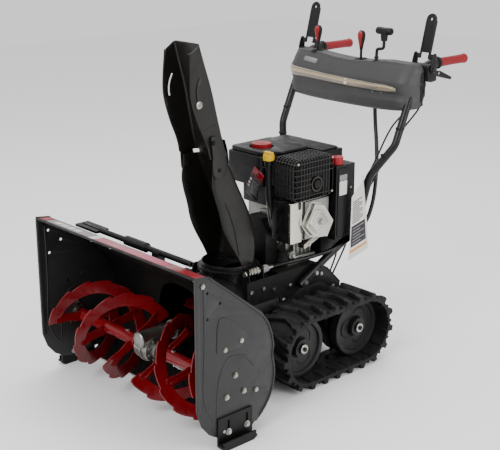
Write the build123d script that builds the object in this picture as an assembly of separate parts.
"""Tracked two stage snowblower, in millimetres.

The model is drawn with Y = 0 at the front edge of the auger housing, +Y towards the operator, +X to the
operator's left and +Z up from the ground. save() moves it so that the origin lies on the ground under the
middle of the machine. One STEP file is written for each separate piece.
"""
from build123d import *
from math import cos, degrees, pi, radians, sin, tan
import os

os.makedirs("parts", exist_ok=True)

# ---------------------------------------------------------------- driving dimensions
LENGTH = 1282.0            # housing front edge to the ends of the grips
WIDTH = 760.0              # over the auger housing's side plates
HOUSING_TOP = 517.0
PLATE_T = 3.0
SHEET_T = 2.5
AUGER_Y, AUGER_Z = 139.0, 167.0
AUGER_R, RIBBON_INNER_R = 138.0, 94.0
RIBBON_T, RIBBON_PITCH = 4.0, 300.0
AUGER_SHAFT_R = 12.5
IMPELLER_Z, IMPELLER_SHAFT_R = 200.0, 10.0
DRUM_R, DRUM_BACK = 142.0, 546.0
FIT = 0.05                 # radial clearance of a shaft in its bore
CHUTE_Y, CHUTE_Z = 455.0, 346.0
COLLAR_R = 84.0
FRAME_X = 131.0            # outer face of the frame's side plates
FRAME_T = 3.0
FRAME_TOP = 334.0
TRACK_IN, TRACK_OUT = 158.0, 300.0
TRACK_Z, IDLER_Y, SPROCKET_Y = 125.0, 533.0, 788.0
BELT_R, BELT_T, LUG_H, LUG_COUNT = 98.0, 12.0, 15.0, 21
WHEEL_R = 96.0
CRANK_Z = 430.0            # engine crankshaft height
TUBE_R, TUBE_WALL = 12.5, 2.0
GRIP_X, GRIP_Z, GRIP_R, GRIP_LENGTH = 254.0, 946.0, 16.0, 141.0
BAR_Y, BAR_Z, BAR_R = 1019.5, 880.0, 9.0   # support bar behind the dash
DASH_BOTTOM, DASH_TOP, DASH_HALF, DASH_BACK = 800.0, 955.0, 272.0, 1040.0
DASH_T = 4.0

parts = {}


# ---------------------------------------------------------------- helpers
def save(name, *shapes):
    """Keeps a piece, moved so that the origin is on the ground under the middle of the machine."""
    solids = [s for shape in shapes for s in shape.solids()]
    moved = [Pos(0, -LENGTH / 2, 0) * s for s in solids]
    parts[name] = moved[0] if len(moved) == 1 else Compound(children=moved)


def box(x0, x1, y0, y1, z0, z1):
    """A box between two corners."""
    return Pos((x0 + x1) / 2, (y0 + y1) / 2, (z0 + z1) / 2) * Box(x1 - x0, y1 - y0, z1 - z0)


def rod(axis, radius, start, end, across):
    """A cylinder along an axis; across holds its other two coordinates in X, Y, Z order."""
    middle, height = (start + end) / 2, abs(end - start)
    if axis == "x":
        return Pos(middle, *across) * Rot(0, 90, 0) * Cylinder(radius, height)
    if axis == "y":
        return Pos(across[0], middle, across[1]) * Rot(90, 0, 0) * Cylinder(radius, height)
    return Pos(*across, middle) * Cylinder(radius, height)


def ring(axis, outer, inner, start, end, across):
    """A hollow cylinder."""
    return rod(axis, outer, start, end, across) - rod(axis, inner, start - 1, end + 1, across)


def prism(outline, x0, x1):
    """Extrudes a closed outline of (y, z) points, or a face drawn in Plane.YZ, from x0 to x1."""
    face = outline if isinstance(outline, (Face, Sketch)) else make_face(
        Plane.YZ * Polyline(*outline, close=True))
    return Pos(x0, 0, 0) * extrude(face, x1 - x0, dir=(1, 0, 0))


def bend_radii(points, share=0.45):
    """The largest radius that each inner corner of a route allows."""
    radii = []
    for before, at, after in zip(points, points[1:], points[2:]):
        run_in, run_out = Vector(*at) - Vector(*before), Vector(*after) - Vector(*at)
        turn = radians(run_in.get_angle(run_out))
        radii.append(share * min(run_in.length, run_out.length) / tan(turn / 2))
    return radii


def sweep_round(points, radius, wall=None, radii=None):
    """A round bar, or a tube when wall is given, along straight runs joined by arcs."""
    path = FilletPolyline(*points, radius=radii or bend_radii(points))
    section = Plane(origin=path @ 0, z_dir=path % 0)
    solid = sweep(section * Circle(radius), path=path)
    if wall:
        solid -= sweep(section * Circle(radius - wall), path=path)
    return solid


def both_sides(name, shape):
    """Keeps a piece for the left side, and its mirror image for the right."""
    save(name + "_left", shape)
    save(name + "_right", mirror(shape, Plane.YZ))


def hex_bolt(axis, start, head, length, across, radius=4.0):
    """A bolt with a hexagon head: head is the signed head height, length the signed shank length."""
    shank = rod(axis, radius, start, start + length, across)
    prism_face = extrude(RegularPolygon(radius * 1.75, 6), abs(head) / 2, both=True)
    turn = {"x": Rot(0, 90, 0), "y": Rot(90, 0, 0), "z": Rot(0, 0, 0)}[axis]
    middle = start - head / 2
    where = {"x": (middle, *across), "y": (across[0], middle, across[-1]), "z": (*across, middle)}[axis]
    return shank + Pos(*where) * turn * prism_face


# ---------------------------------------------------------------- auger housing
REAR_ARC = 150.0           # outer radius of the scoop's back, about the auger's axis
SCOOP_END = -62.0          # where that arc ends, in degrees above the rearward direction


def around_auger(radius, angle):
    """A (y, z) point at an angle above the rearward direction from the auger's axis."""
    return AUGER_Y + radius * cos(radians(angle)), AUGER_Z + radius * sin(radians(angle))


def scoop_wire(offset):
    """The housing's top, sloping back and scoop as one open line, moved inward by offset."""
    radius = REAR_ARC - offset
    arc_top, arc_mid, arc_end = (around_auger(radius, a) for a in (12, -20, SCOOP_END))
    top = HOUSING_TOP - offset
    knee, shoulder = (48, top - 6), (236 - offset * 0.6, 360 - offset * 0.8)
    bulge = (276 - offset, 282 - offset * 0.3)
    yz = Plane.YZ
    return Wire([
        Edge.make_line(yz.from_local_coords((0, top)), yz.from_local_coords(knee)),
        Edge.make_line(yz.from_local_coords(knee), yz.from_local_coords(shoulder)),
        Edge.make_three_point_arc(*(yz.from_local_coords(p) for p in (shoulder, bulge, arc_top))),
        Edge.make_three_point_arc(*(yz.from_local_coords(p) for p in (arc_top, arc_mid, arc_end))),
    ])


def scoop_face(offset):
    """The region in front of the scoop line, closed at the front."""
    wire = scoop_wire(offset)
    end, start = wire @ 1, wire @ 0
    close = Polyline(end, (0, 60, end.Z), (0, 0, end.Z), start)
    return Face(Wire(wire.edges() + close.edges()))


def side_outline(inset=0.0):
    """The side plate: straight front edge, sloping top, round back, rounded front corner."""
    arc_top, arc_mid, arc_end = (around_auger(REAR_ARC + 4 - inset, a) for a in (12, -22, -58))
    pts = {
        "front_low": (0 + inset, 122), "front_top": (0 + inset, HOUSING_TOP + 3 - inset),
        "knee": (49, HOUSING_TOP - 3 - inset), "shoulder": (240 - inset, 364 - inset),
        "bulge": (280 - inset, 284), "heel": (100, 26 + inset),
        "corner": (28 + inset * 0.7, 66 + inset * 0.7),
    }
    at = {k: Plane.YZ.from_local_coords(p) for k, p in pts.items()}
    top, mid, end = (Plane.YZ.from_local_coords(p) for p in (arc_top, arc_mid, arc_end))
    return Face(Wire([
        Edge.make_line(at["front_low"], at["front_top"]),
        Edge.make_line(at["front_top"], at["knee"]),
        Edge.make_line(at["knee"], at["shoulder"]),
        Edge.make_three_point_arc(at["shoulder"], at["bulge"], top),
        Edge.make_three_point_arc(top, mid, end),
        Edge.make_line(end, at["heel"]),
        Edge.make_three_point_arc(at["heel"], at["corner"], at["front_low"]),
    ]))


DRIFT_HOLES = ((42, 468), (42, 394))
BEARING_BOLTS = ((138, 204), (106, 147), (170, 147))
PLATE_BOLTS = ((101, 290), (161, 301), (216, 136), (24, 492))
SKID_BOLTS = ((108, 44), (177, 44))
HOLE_R = 4.2


TOOL_Y, TOOL_Z = 160.0, 468.0


def tool_clip():
    """Clip, welded to the housing's slope, that the clean-out tool snaps into."""
    surface = 505 - (TOOL_Y - 48) * 145 / 188
    clip = box(8, 38, TOOL_Y - 13, TOOL_Y + 13, surface - 20, TOOL_Z + 2)
    clip -= rod("x", 9.4, 0, 50, (TOOL_Y, TOOL_Z))
    clip -= box(0, 50, TOOL_Y - 9.4, TOOL_Y + 9.4, TOOL_Z, TOOL_Z + 20)
    return clip - prism(scoop_face(0), 0, 50)


def clean_out_tool():
    shaft = rod("x", 9, -260, 173, (TOOL_Y, TOOL_Z)) + rod("x", 15, -129, -31, (TOOL_Y, TOOL_Z))
    blade = box(-367, -255, TOOL_Y - 24, TOOL_Y + 24, TOOL_Z - 4, TOOL_Z + 4)
    save("clean_out_tool", shaft + blade)


def auger_housing():
    half = WIDTH / 2 - PLATE_T
    skin = prism(scoop_face(0), -half, half) - prism(scoop_face(SHEET_T), -half - 1, half + 1)
    skin -= box(-half - 1, half + 1, -60, around_auger(REAR_ARC, SCOOP_END)[0] - 4, 0, 120)
    skin -= box(-half - 1, half + 1, -60, 0.01, 0, HOUSING_TOP - 8)
    keep = prism([(-1, 600), (-1, 200), (60, 200), (150, 120), (205, 20), (320, 20), (320, 600)],
                 -half - 1, half + 1)
    skin = skin & keep
    skin -= rod("y", DRUM_R - SHEET_T, 150, 400, (0, IMPELLER_Z))
    skin = max(skin.solids(), key=lambda s: s.volume)
    save("auger_housing", skin + tool_clip())


def side_plate():
    outer = WIDTH / 2
    plate = prism(side_outline(), outer - PLATE_T, outer)
    for y, z in DRIFT_HOLES + BEARING_BOLTS + PLATE_BOLTS + SKID_BOLTS:
        plate -= rod("x", HOLE_R, outer - 10, outer + 10, (y, z))
    plate -= rod("x", AUGER_SHAFT_R + 3, outer - 10, outer + 10, (AUGER_Y, AUGER_Z))
    save("side_plates", plate, mirror(plate, Plane.YZ))


def scraper_blade():
    """Wear strip under the scoop, with a flange that lies against the scoop's outer face."""
    seat = SCOOP_END + 5
    seat_y, seat_z = around_auger(REAR_ARC, seat)
    c, w = cos(radians(seat)), sin(radians(seat))

    def on_flange(along, out):
        return seat_y - along * w + out * c, seat_z + along * c + out * w

    flange = [on_flange(-14.5, 0), on_flange(12, 0), on_flange(12, 3), on_flange(-12.5, 3)]
    half = WIDTH / 2 - PLATE_T - 0.5
    save("scraper_blade", prism([(178, 14), (178, 18), *flange, (190, 14)], -half, half))


def skid_shoe():
    """A shoe with a turned-out foot, and two upright slots so that it can be set lower."""
    x0 = WIDTH / 2 + 0.5
    plate = box(x0, x0 + 5, 70, 198, 8, 92)
    foot = prism([(70, 8), (84, 0), (184, 0), (198, 8), (198, 14), (70, 14)], x0, x0 + 26)
    lip = box(x0 + 21, x0 + 26, 74, 194, 8, 26)
    shoe = plate + foot + lip
    for y, z in SKID_BOLTS:
        slot = box(x0 - 1, x0 + 12, y - HOLE_R, y + HOLE_R, z, z + 32)
        ends = (rod("x", HOLE_R, x0 - 1, x0 + 12, (y, end)) for end in (z, z + 32))
        shoe -= slot + sum(ends, Part())
    both_sides("skid_shoe", shoe)


def skid_bolts():
    x0 = WIDTH / 2 + 0.5 + 5 + 0.1
    made = [hex_bolt("x", x0 + 1.5, -5, -16, at, 3.9) + rod("x", 10, x0, x0 + 1.5, at) for at in SKID_BOLTS]
    nuts = [rod("x", 7.5, WIDTH / 2 - PLATE_T - 6, WIDTH / 2 - PLATE_T, at) for at in SKID_BOLTS]
    return [a + b for a, b in zip(made, nuts)]


def auger_bearings():
    """A flanged bearing at each end of the auger shaft."""
    inner = WIDTH / 2 - PLATE_T
    flange = rod("x", 24, inner - 14, inner, (AUGER_Y, AUGER_Z))
    pad = prism([(138, 218), (92, 140), (184, 140)], inner - 4, inner)
    bearing = flange + pad - rod("x", AUGER_SHAFT_R + FIT, inner - 20, inner + 1, (AUGER_Y, AUGER_Z))
    for at in BEARING_BOLTS:
        bearing -= rod("x", HOLE_R, inner - 20, inner + 1, at)
    save("auger_bearings", bearing, mirror(bearing, Plane.YZ))


def plate_bolts():
    """Bolts that hold the bearings, the housing and the skid shoes to both side plates."""
    outer = WIDTH / 2
    made = skid_bolts()
    made += [hex_bolt("x", outer, -5, -9, at, 3.9) for at in BEARING_BOLTS]
    made += [hex_bolt("x", outer, -5, -5, at, 3.9) for at in PLATE_BOLTS]
    save("side_plate_bolts", *made, *(mirror(s, Plane.YZ) for s in made))


# ---------------------------------------------------------------- auger and gearbox
def ribbon(length, start_angle):
    """One helical flight about +X, starting at x = 0, as a flat band."""
    middle_r = (AUGER_R + RIBBON_INNER_R) / 2
    path = Helix(RIBBON_PITCH, length, middle_r, lefthand=True)
    plane = Plane(origin=path @ 0, x_dir=(1, 0, 0), z_dir=path % 0)
    band = sweep(plane * Rectangle(AUGER_R - RIBBON_INNER_R, RIBBON_T), path=path, is_frenet=True)
    return Rot(start_angle, 0, 0) * Rot(0, 90, 0) * band


SHEAR_X = 112.0


def auger_half():
    """The right-hand auger, from its outer end inward: sleeve, two flights and their spokes."""
    x0, length, sleeve_r = -352.0, 284.0, 19.0
    shape = rod("x", sleeve_r, x0 - 8, x0 + length + 6, (0, 0))
    for start in (-90, 90):
        band = Pos(x0, 0, 0) * ribbon(length, start)
        shape += band
        for share in (0.03, 0.5, 0.97):
            angle = start - 360 * length * share / RIBBON_PITCH
            spoke = box(-3, 3, -16, 16, -RIBBON_INNER_R - 12, -14)
            shape += Pos(x0 + length * share, 0, 0) * Rot(angle, 0, 0) * Rot(0, 0, 14) * spoke
    shape -= rod("x", AUGER_SHAFT_R + FIT, x0 - 20, x0 + length + 20, (0, 0))
    shape -= rod("z", HOLE_R, -40, 40, (-SHEAR_X, 0))
    return Pos(0, AUGER_Y, AUGER_Z) * shape


def auger():
    right = auger_half()
    save("auger_right", right)
    save("auger_left", mirror(right, Plane.YZ))
    shaft = rod("x", AUGER_SHAFT_R, -372, 372, (AUGER_Y, AUGER_Z))
    for x in (-SHEAR_X, SHEAR_X):
        shaft -= rod("z", HOLE_R, 100, 230, (x, AUGER_Y))
    wheel = rod("x", 21.9, -9, 9, (AUGER_Y, AUGER_Z))
    save("auger_shaft", shaft + wheel)
    bolts = [hex_bolt("z", AUGER_Z + 19.5, -5, -46, (x, AUGER_Y), 3.9) for x in (-SHEAR_X, SHEAR_X)]
    save("shear_bolts", *bolts)


def gearbox():
    """Gear case that carries the auger shaft and the front end of the impeller shaft."""
    case = rod("x", 40, -30, 30, (AUGER_Y, AUGER_Z)) + rod("x", 24, -48, 48, (AUGER_Y, AUGER_Z))
    case += rod("y", 25, 96, 236, (0, IMPELLER_Z)) + rod("y", 30, 222, 236, (0, IMPELLER_Z))
    case -= rod("x", 26, -20, 20, (AUGER_Y, AUGER_Z)) + rod("y", 14, 104, 196, (0, IMPELLER_Z))
    case -= rod("x", AUGER_SHAFT_R + FIT, -60, 60, (AUGER_Y, AUGER_Z))
    case -= rod("y", IMPELLER_SHAFT_R + FIT, 190, 240, (0, IMPELLER_Z))
    save("gearbox_case", case)


# ---------------------------------------------------------------- impeller and its housing
def spool(flange_r, groove_r, z):
    """A belt pulley on an axis along Y."""
    shape = rod("y", groove_r, 575, 597, (0, z))
    return shape + rod("y", flange_r, 575, 579, (0, z)) + rod("y", flange_r, 593, 597, (0, z))


def impeller():
    shaft = rod("y", IMPELLER_SHAFT_R, 108, 604, (0, IMPELLER_Z))
    worm = rod("y", 11, 122, 154, (0, IMPELLER_Z))
    save("impeller_shaft", shaft + worm + spool(60, 50, IMPELLER_Z))
    hub = ring("y", 26, IMPELLER_SHAFT_R + FIT, 372, 528, (0, 0))
    for k in range(4):
        blade = box(-2.5, 2.5, 380, 520, 18, 134) + box(-2.5, 22, 380, 520, 118, 123)
        hub += Rot(0, 90 * k, 0) * blade
    save("impeller", Pos(0, 0, IMPELLER_Z) * hub)


def drum():
    """Impeller housing: a drum behind the scoop, with a round outlet on top."""
    inner = DRUM_R - SHEET_T
    shape = rod("y", DRUM_R, 150, DRUM_BACK, (0, IMPELLER_Z))
    shape += rod("z", COLLAR_R, IMPELLER_Z, CHUTE_Z, (0, CHUTE_Y))
    shape -= rod("y", inner, 140, DRUM_BACK - SHEET_T, (0, IMPELLER_Z))
    shape -= rod("z", COLLAR_R - SHEET_T, IMPELLER_Z, CHUTE_Z + 1, (0, CHUTE_Y))
    shape -= prism(scoop_face(-0.05), -WIDTH / 2, WIDTH / 2)
    shape -= box(-200, 200, 0, 262, 0, 400)
    shape += ring("z", COLLAR_R + 8, COLLAR_R - SHEET_T, CHUTE_Z - 4, CHUTE_Z, (0, CHUTE_Y))
    shape -= rod("y", 24, 500, 560, (0, IMPELLER_Z))
    save("impeller_housing", max(shape.solids(), key=lambda s: s.volume))


# ---------------------------------------------------------------- chute
# Front and back edges of the chute's side walls, as (y, z), from the base up.
LOWER_FRONT = [(442, 366), (424, 402), (386, 466), (366, 512), (355, 560), (340, 605), (331, 650),
               (340, 690), (337, 716)]
LOWER_BACK = [(496, 366), (504, 430), (498, 485), (478, 545), (452, 600), (428, 650), (398, 716)]
HEAD_FRONT = [(325, 726), (314, 770), (284, 835), (262, 905), (260, 960), (266, 1040)]
HEAD_BACK = [(396, 726), (382, 762), (362, 845), (342, 931), (318, 1010), (302, 1066)]
DEFLECTOR_PIVOT = (332.0, 776.0)
GEAR_TEETH, WORM_PITCH = 52, 12.0
GEAR_R, GEAR_ROOT = 98.0, 94.5


def tapered(half_low, half_high, z_low, z_high):
    """A slab whose half width in X changes evenly from z_low to z_high."""
    outline = [(-half_low, z_low), (half_low, z_low), (half_high, z_high), (-half_high, z_high)]
    return extrude(make_face(Plane.XZ * Polyline(*outline, close=True)), 700, both=True)


def channel(front, back, half_low, half_high, wall):
    """A channel open at the front, between a front and a back edge line, narrowing as it rises."""
    z_low, z_high = back[0][1], back[-1][1]
    outside = prism(front + back[::-1], -half_low, half_low)
    ahead = [(y - 90, z) for y, z in front]
    inside = prism(ahead + [(y - wall, z) for y, z in back[::-1]], -half_low, half_low)
    inside &= tapered(half_low - wall, half_high - wall, z_low, z_high)
    return (outside & tapered(half_low, half_high, z_low, z_high)) - inside


def hinge_strap():
    """Strap on the chute's left side that carries a pivot bolt of the tilting head."""
    strap = prism([(330, 690), (352, 690), (352, 792), (322, 792)], 74, 77)
    strap += prism([(332, 690), (352, 690), (352, 716), (332, 716)], 66, 74)
    return strap + rod("x", 4, 64, 80, DEFLECTOR_PIVOT) + rod("x", 7, 77, 82, DEFLECTOR_PIVOT)


def chute():
    z0 = CHUTE_Z + 0.4
    base = ring("z", 92, 82.5, z0, z0 + 6, (0, CHUTE_Y)) + ring("z", 86, 82.5, z0, 372, (0, CHUTE_Y))
    base += box(-84, 84, 442, 496, 363, 366) - rod("z", 82.5, 350, 380, (0, CHUTE_Y))
    walls = channel(LOWER_FRONT, LOWER_BACK, 84, 68, 3)
    body = max((base + walls).solids(), key=lambda s: s.volume)
    gear = ring("z", GEAR_R, 84.0, z0 + 6.4, z0 + 12, (0, CHUTE_Y))
    notch = box(GEAR_ROOT, GEAR_R + 5, -4, 4, z0, z0 + 20)
    for k in range(GEAR_TEETH):
        gear -= Pos(0, CHUTE_Y, 0) * Rot(0, 0, 360 * (k + 0.5) / GEAR_TEETH) * notch
    strap = hinge_strap()
    save("chute", body + gear + strap + mirror(strap, Plane.YZ))


def deflector():
    """The chute's tilting head: two slotted cheeks and a back, pivoting on two bolts."""
    head = channel(HEAD_FRONT, HEAD_BACK, 72, 59, 3)
    head -= rod("x", 4 + FIT, -100, 100, DEFLECTOR_PIVOT)
    save("deflector", max(head.solids(), key=lambda s: s.volume))


# ---------------------------------------------------------------- chute drive
WORM_X, WORM_Z = 110.0, CHUTE_Z + 9.6
WORM_ROOT_R = 11.4
# The flexible shaft from the coupler behind the worm up to the crank in the dash.
CHUTE_CABLE = [(110, 519, WORM_Z), (110, 575, 354), (122, 635, 356), (142, 690, 362), (163, 742, 372),
               (174, 796, 388), (184, 846, 414), (190, 892, 450), (186, 922, 504), (174, 946, 560),
               (160, 966, 624), (140, 984, 688), (118, 999, 752), (110, 1004, 812), (110, 1004, 868)]


def chute_drive():
    """Worm that turns the chute, the bracket it runs in and the flexible shaft that drives it."""
    bracket = box(97, FRAME_X - FRAME_T, 425, 487, 322, 326)
    for y in (425, 484):
        bracket += box(97, FRAME_X - FRAME_T, y, y + 3, 280, 374)
    bracket -= rod("y", DRUM_R, 400, 500, (0, IMPELLER_Z))
    bracket -= rod("y", 5 + FIT, 420, 490, (WORM_X, WORM_Z))
    save("worm_bracket", bracket)
    shaft = rod("y", 5, 421, 500, (WORM_X, WORM_Z)) + rod("y", WORM_ROOT_R, 430, 481, (WORM_X, WORM_Z))
    shaft += rod("y", 9, 489, 518.5, (WORM_X, WORM_Z))
    path = Helix(WORM_PITCH, 40, 12.4)
    thread = sweep(Plane(origin=path @ 0, x_dir=(1, 0, 0), z_dir=path % 0) * Rectangle(3.2, 3), path=path,
                   is_frenet=True)
    shaft += Pos(WORM_X, CHUTE_Y + 6 - 24, WORM_Z) * Rot(-90, 0, 0) * Rot(0, 0, 180) * thread
    save("chute_worm", shaft)


# ---------------------------------------------------------------- tractor frame and drive
FRAME_OUTLINE = [(551, 70), (551, 334), (716, 334), (770, 302), (832, 240), (832, 96), (806, 70)]
FRAME_INSIDE = [(554, 73), (554, 331), (715, 331), (768, 300), (829, 239), (829, 97), (805, 73)]
HANDLE_BOLTS = ((644, 288), (691, 309))
ADAPTER_BOLTS = ((430, 302), (481, 302), (525, 290))


def frame():
    half = FRAME_X
    body = prism(FRAME_OUTLINE, -half, half) - prism(FRAME_INSIDE, -half + FRAME_T, half - FRAME_T)
    body += box(-58, 58, 735, 815, 71, 176)
    body -= box(-90, 90, 545, 617, 320, 340) + rod("y", 40, 545, 560, (0, IMPELLER_Z))
    body -= rod("x", 13.5, -half - 5, half + 5, (SPROCKET_Y, TRACK_Z))
    tab = prism([(415, 255), (415, 334), (551, 334), (551, 255)], half - FRAME_T, half)
    tab -= rod("y", DRUM_R, 400, 560, (0, IMPELLER_Z))
    body += tab + mirror(tab, Plane.YZ)
    for y, z in HANDLE_BOLTS + ADAPTER_BOLTS:
        body -= rod("x", HOLE_R, -half - 5, half + 5, (y, z))
    save("tractor_frame", body)
    bolts = [hex_bolt("x", half, -5, -FRAME_T, at, 4.0) for at in ADAPTER_BOLTS]
    bolts += [hex_bolt("x", half + 2 * TUBE_R, -6, -34, at, 4.0) for at in HANDLE_BOLTS]
    save("frame_bolts", *bolts, *(mirror(b, Plane.YZ) for b in bolts))
    bearing = ring("x", 13.5, AXLE_R + FIT, half - 8, half + 3, (SPROCKET_Y, TRACK_Z))
    bearing += ring("x", 24, AXLE_R + FIT, half, half + 3, (SPROCKET_Y, TRACK_Z))
    rear = ring("y", 23.9, IMPELLER_SHAFT_R + FIT, 536, 560, (0, IMPELLER_Z))
    rear += ring("y", 36, IMPELLER_SHAFT_R + FIT, 549, 553, (0, IMPELLER_Z))
    save("shaft_bearings", bearing, mirror(bearing, Plane.YZ), rear)


def pulleys():
    """Engine pulley and the slack drive belt around it and the impeller's pulley."""
    save("engine_pulley", spool(35, 25, CRANK_Z) + rod("y", 10, 572, 636, (0, CRANK_Z)))
    belt = loop_band("y", (0, IMPELLER_Z), 51, (0, CRANK_Z), 26, 581, 591, 8)
    save("drive_belt", belt)


def loop_band(axis, first, first_r, second, second_r, start, end, thickness):
    """A closed band around two circles; the circles are given by their middles and inner radii."""
    plane = Plane.YZ if axis == "x" else Plane.XZ
    faces = []
    for extra in (thickness, 0):
        circles = [Pos(*first) * Circle(first_r + extra), Pos(*second) * Circle(second_r + extra)]
        faces.append(make_hull([e for c in circles for e in c.edges()]))
    band = extrude(plane * faces[0], end - start, dir=(1, 0, 0) if axis == "x" else (0, 1, 0))
    band -= extrude(plane * faces[1], end - start, dir=(1, 0, 0) if axis == "x" else (0, 1, 0))
    return Pos(start, 0, 0) * band if axis == "x" else Pos(0, start, 0) * band


def belt_cover():
    def arch(half, top, y0, y1):
        outline = [(-half, 334), (half, 334), (half, top - 30), (half - 24, top), (24 - half, top),
                   (-half, top - 30)]
        return extrude(Plane.XZ * make_face(Polyline(*outline, close=True)), -(y1 - y0)).translate((0, y0, 0))
    save("belt_cover", arch(56, 488, 563, 614) - arch(52.5, 484.5, 566.5, 620))


# ---------------------------------------------------------------- tracks
AXLE_R = 12.7
HUB_R = 30.0


def loop_point(distance):
    """Position (y, z) and angle of the outward direction at a distance along the belt's outer face."""
    outer = BELT_R + BELT_T
    straight, arc = SPROCKET_Y - IDLER_Y, pi * outer
    s = distance % (2 * (straight + arc))
    if s < straight:
        return SPROCKET_Y - s, TRACK_Z - outer, -90.0
    if s < straight + arc:
        angle = -90 - degrees((s - straight) / outer)
        return (IDLER_Y + outer * cos(radians(angle)), TRACK_Z + outer * sin(radians(angle)), angle)
    if s < 2 * straight + arc:
        return IDLER_Y + s - straight - arc, TRACK_Z + outer, 90.0
    angle = 90 - degrees((s - 2 * straight - arc) / outer)
    return SPROCKET_Y + outer * cos(radians(angle)), TRACK_Z + outer * sin(radians(angle)), angle


def track_belt():
    idler, sprocket = (IDLER_Y, TRACK_Z), (SPROCKET_Y, TRACK_Z)
    band = loop_band("x", idler, BELT_R, sprocket, BELT_R, TRACK_IN, TRACK_OUT, BELT_T)
    perimeter = 2 * (SPROCKET_Y - IDLER_Y) + 2 * pi * (BELT_R + BELT_T)
    lug = prism([(-19, -3), (-8, LUG_H), (8, LUG_H), (19, -3)], TRACK_IN, TRACK_OUT)
    guide = prism([(-12, 3), (-7, -14), (7, -14), (12, 3)], 203, 219)
    for k in range(LUG_COUNT):
        y, z, angle = loop_point((k + 0.5) * perimeter / LUG_COUNT)
        band += Pos(0, y, z) * Rot(angle - 90, 0, 0) * lug
        y, z = y - BELT_T * cos(radians(angle)), z - BELT_T * sin(radians(angle))
        band += Pos(0, y, z) * Rot(angle - 90, 0, 0) * guide
    save("track_belts", band, mirror(band, Plane.YZ))


def wheel(axle_hole):
    shape = rod("x", HUB_R, 170, 256, (0, 0))
    for x0 in (174, 222):
        shape += ring("x", WHEEL_R, 82, x0, x0 + 26, (0, 0)) + rod("x", 90, x0 + 9, x0 + 15, (0, 0))
    return shape - rod("x", axle_hole, 160, 300, (0, 0))


def tracks():
    track_belt()
    both_sides("idler_wheel", Pos(0, IDLER_Y, TRACK_Z) * wheel(12 + FIT))
    axle = rod("x", AXLE_R, 62, 262, (SPROCKET_Y, TRACK_Z)) + rod("x", 17, 257, 262, (SPROCKET_Y, TRACK_Z))
    both_sides("drive_sprocket", Pos(0, SPROCKET_Y, TRACK_Z) * wheel(AXLE_R - 1) + axle)
    bar = box(139, 151, 505, 816, 108, 142) + box(FRAME_X, 139, 600, 700, 108, 142)
    bar += rod("x", 12, 145, 262, (IDLER_Y, TRACK_Z)) + rod("x", 17, 257, 262, (IDLER_Y, TRACK_Z))
    bar -= rod("x", AXLE_R + 1, 130, 160, (SPROCKET_Y, TRACK_Z))
    save("track_frames", bar, mirror(bar, Plane.YZ))


# ---------------------------------------------------------------- engine
def engine():
    block = box(-85, 88, 620, 735, 345, 520) + box(88, 172, 620, 725, 440, 560)
    block += box(-95, 100, 618, 760, FRAME_TOP, 345)
    block -= rod("y", 10 + FIT, 600, 640, (0, CRANK_Z))
    route = [(72, 622, 425), (74, 586, 440), (78, 563, 500), (78, 553, 580), (78, 553, 688)]
    save("engine_block", block + sweep_round(route, 9))
    cover = [(606, 488), (644, 554), (685, 543), (728, 485), (702, 438), (638, 452)]
    save("valve_cover", prism(cover, 172, 191))
    save("control_box", box(125.5, 190, 739, 824, 416, 656) - rod("z", 4 + FIT, 636, 660, (165, 767)))
    save("choke_knob", rod("z", 20, 656.4, 680, (165, 767)) + rod("z", 4, 640, 657, (165, 767)))
    shroud = box(-125, 125, 742, 835, 352, 690) + rod("y", 98, 835, 868, (0, CRANK_Z))
    save("blower_housing", shroud)
    muffler = box(105, 178, 572, 722, 580, 692) + rod("x", 13, 178, 190, (656, 615))
    muffler += box(120, 150, 640, 670, 560, 580)
    save("muffler", muffler)
    guard = box(98, 187, 557, 737, 567, 703) - box(90, 183, 561, 733, 571, 699)
    guard -= rod("x", 20, 180, 190, (656, 615)) + box(118, 152, 638, 672, 560, 575)
    save("muffler_guard", guard)
    shield = box(92, 174, 556, 558, 436, 566.5) + box(172, 174, 556, 604, 436, 566.5)
    shield += box(100, 172, 558, 618, 563, 566.5)
    save("heat_shield", shield)
    outline = [(-105, 542), (54, 542), (58, 572), (90, 600), (90, 738), (-105, 738)]
    cover = extrude(make_face(Polyline(*outline, close=True)), 108).translate((0, 0, 600))
    cover -= rod("z", 36, 698, 710, (-20, 615)) + rod("z", 14.2, 660, 710, (-20, 615))
    save("fuel_tank", cover + box(-95, 56, 600, 738, 520, 605))
    save("fuel_cap", rod("z", 31, 699, 717, (-20, 615)) + rod("z", 14, 670, 699, (-20, 615)))
    save("oil_cap", rod("z", 17, 688.5, 706, (78, 553)) + box(62, 94, 547, 559, 698, 714))


# ---------------------------------------------------------------- handlebars and dash
HANDLE_ROUTE = [(143.5, 628, 280), (146, 748, 346), (168, 862, 420), (196, 888, 600), (254, 940, 702),
                (254, 985, 805), (254, 1040, 925), (254, 1090, 946), (254, 1273, 946)]
HANDLE_RADII = [120, 70, 70, 60, 60, 60, 45]
LEVER_PIVOT = (1066.0, 932.0)
TRIGGER_PIVOT = (1128.0, 914.0)


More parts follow.
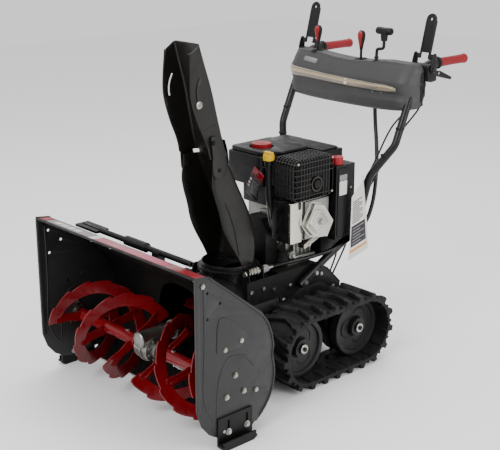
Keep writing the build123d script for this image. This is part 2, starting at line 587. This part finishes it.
def handlebars():
    tube = sweep_round(HANDLE_ROUTE, TUBE_R, TUBE_WALL, HANDLE_RADII)
    flat = FRAME_X + 2 * TUBE_R
    tube -= box(flat, flat + 10, 622, 712, 260, 335)
    for at in HANDLE_BOLTS:
        tube -= rod("x", HOLE_R, FRAME_X - 5, FRAME_X + 40, at)
    solid_tube = sweep_round(HANDLE_ROUTE, TUBE_R, None, HANDLE_RADII)
    bar = rod("x", BAR_R, -GRIP_X, GRIP_X, (BAR_Y, BAR_Z)) - solid_tube - mirror(solid_tube, Plane.YZ)
    bar = max(bar.solids(), key=lambda s: s.volume)
    save("handlebars", tube, mirror(tube, Plane.YZ), bar)
    grip = ring("y", GRIP_R, TUBE_R, LENGTH - GRIP_LENGTH, LENGTH, (GRIP_X, GRIP_Z))
    grip += rod("y", GRIP_R, LENGTH - 9, LENGTH, (GRIP_X, GRIP_Z))
    start = LENGTH - GRIP_LENGTH
    grip += ring("y", 20, TUBE_R, start - 12, start, (GRIP_X, GRIP_Z))
    save("grips", grip, mirror(grip, Plane.YZ))
    block = box(GRIP_X - 34, GRIP_X + 34, 1048, 1094, 893, 950)
    block += rod("x", 5, GRIP_X - 44, GRIP_X + 44, LEVER_PIVOT)
    arm_outline = [(1052, 932), (1066, 918), (1080, 932), (1083, 960), (1079, 985), (1066, 985), (1057, 960)]
    arm = prism(arm_outline, 0, 4)
    lever = Pos(GRIP_X - 40, 0, 0) * arm + Pos(GRIP_X + 36, 0, 0) * arm
    lever += prism([(1064.4, 966), (1070.4, 966), (1106, 1107), (1100, 1107)], GRIP_X - 20.5, GRIP_X + 20.5)
    lever += prism([(1064.4, 966), (1070.4, 966), (1074.5, 982), (1068.5, 982)], GRIP_X - 40, GRIP_X + 40)
    # The blade's foot is forked, so that it straddles the handlebar when it is squeezed.
    lever -= box(GRIP_X - 14, GRIP_X + 14, 1055, 1090, 955, 984)
    lever -= rod("x", 5 + FIT, GRIP_X - 50, GRIP_X + 50, LEVER_PIVOT)
    save("drive_lever", lever)
    save("auger_lever", mirror(lever, Plane.YZ))
    hanger = box(GRIP_X - 8, GRIP_X + 8, 1106, 1127, 905, 950)
    hanger += rod("x", 4, GRIP_X - 15, GRIP_X + 15, TRIGGER_PIVOT)
    pair = [max((b - solid_tube).solids(), key=lambda s: s.volume) for b in (block, hanger)]
    save("lever_brackets", *pair, *(mirror(b, Plane.YZ) for b in pair))
    side = prism([(1116, 924), (1116, 906), (1136, 902), (1196, 886), (1200, 894), (1140, 920)], 0, 4)
    trigger = Pos(GRIP_X - 13, 0, 0) * side + Pos(GRIP_X + 9, 0, 0) * side
    trigger += prism([(1138, 902), (1196, 886), (1198, 890), (1140, 906)], GRIP_X - 13, GRIP_X + 13)
    trigger -= rod("x", 4 + FIT, GRIP_X - 30, GRIP_X + 30, TRIGGER_PIVOT)
    both_sides("steering_trigger", trigger)


CONTROLS = {"speed": 30.0, "deflector": -165.0}
CRANK_XY = (110.0, 1004.0)


def dash():
    outline = [(962, DASH_BOTTOM), (957, 892), (994, DASH_TOP - 5), (1000, DASH_TOP),
               (DASH_BACK, DASH_TOP + 2), (DASH_BACK, 840), (1040, DASH_BOTTOM)]
    inner = [(966, DASH_BOTTOM - 20), (961, 892), (996, DASH_TOP - 9), (1001, DASH_TOP - 4),
             (DASH_BACK + 20, DASH_TOP - 2), (DASH_BACK + 20, DASH_BOTTOM - 20)]
    shell = prism(outline, -DASH_HALF, DASH_HALF) - prism(inner, DASH_T - DASH_HALF, DASH_HALF - DASH_T)
    for x in CONTROLS.values():
        shell -= box(x - 7, x + 7, 994, 1043, 930, 970)
    shell -= rod("z", 5 + FIT, 930, 970, CRANK_XY)
    save("dash_panel", shell)
    lens = [(958.4, 865), (952, 867), (951, 888), (957.1, 890)]
    save("light_bar", prism(lens, -262, 225))


def controls():
    for name, x in CONTROLS.items():
        lever = rod("x", 15, x - 6, x + 6, (BAR_Y, BAR_Z)) + rod("z", 4, 890, 992, (x, BAR_Y))
        knob = loft([Pos(x, BAR_Y, 985) * Circle(9), Pos(x, BAR_Y, 1010) * Circle(15),
                     Pos(x, BAR_Y, 1040) * Circle(12)])
        save(name + "_lever", lever + knob - rod("x", BAR_R + FIT, x - 10, x + 10, (BAR_Y, BAR_Z)))
    x, y = CRANK_XY
    crank = rod("z", 5, 882, 990, CRANK_XY) + rod("x", 5, x, x + 30, (y, 988))
    crank += rod("z", 5, 986, 1040, (x + 30, y))
    crank += rod("z", 8, 957.5, 964, CRANK_XY)
    save("chute_crank", crank)
    knob = rod("z", 12, 1016, 1046, (x + 30, y)) + rod("x", 12, x, x + 60, (y, 1048))
    save("crank_knob", knob - rod("z", 5 + FIT, 1010, 1041, (x + 30, y)))


# ---------------------------------------------------------------- control cables
CABLES = {
    "chute": (6.5, CHUTE_CABLE),
    "drive": (3.0, [(262, 1063, 846), (262, 1048, 812), (256, 1014, 780), (246, 984, 748), (232, 962, 706),
                    (216, 946, 660), (198, 930, 612), (180, 912, 560), (164, 894, 508), (152, 878, 462),
                    (144, 866, 418), (134, 858, 372), (120, 850, 328), (108, 840, 290), (100, 828, 256)]),
    "steering": (3.0, [(232, 1063, 846), (228, 1040, 812), (224, 1004, 786), (216, 970, 758), (206, 948, 716),
                       (196, 930, 668), (183, 913, 620), (166, 894, 570), (148, 878, 520), (131, 864, 472),
                       (116, 856, 424), (106, 852, 376), (98, 850, 330), (92, 840, 290), (86, 828, 256)]),
}


def cables():
    """Flexible shaft from the crank to the worm, and the control cables beside the left handlebar."""
    for name, (radius, route) in CABLES.items():
        print(name, "cable, section radius", radius, "bends", [round(r, 1) for r in bend_radii(route)])
    save("control_cables", *(sweep_round(route, radius) for radius, route in CABLES.values()))


# ---------------------------------------------------------------- decal and tags
def trim():
    save("housing_decal", box(-374, 374, 5, 44, HOUSING_TOP - 0.4, HOUSING_TOP + 0.4))
    long_tag = prism([(844, 601), (868, 451), (876, 364), (782, 342), (788, 402), (791, 552)], 209.6, 210.4)
    oil_tag = prism([(537, 688), (538, 688), (540, 604), (552, 566), (551, 566), (539, 604)], 18, 62)
    save("hang_tags", long_tag, oil_tag)


# ---------------------------------------------------------------- write the files
auger_housing()
side_plate()
scraper_blade()
skid_shoe()
auger_bearings()
plate_bolts()
auger()
gearbox()
impeller()
drum()
chute()
deflector()
chute_drive()
frame()
pulleys()
belt_cover()
tracks()
engine()
handlebars()
dash()
controls()
cables()
clean_out_tool()
trim()

for name, shape in sorted(parts.items()):
    export_step(shape, f"parts/{name}.step")
    print(name, len(shape.solids()), round(sum(s.volume for s in shape.solids())), shape.is_valid)
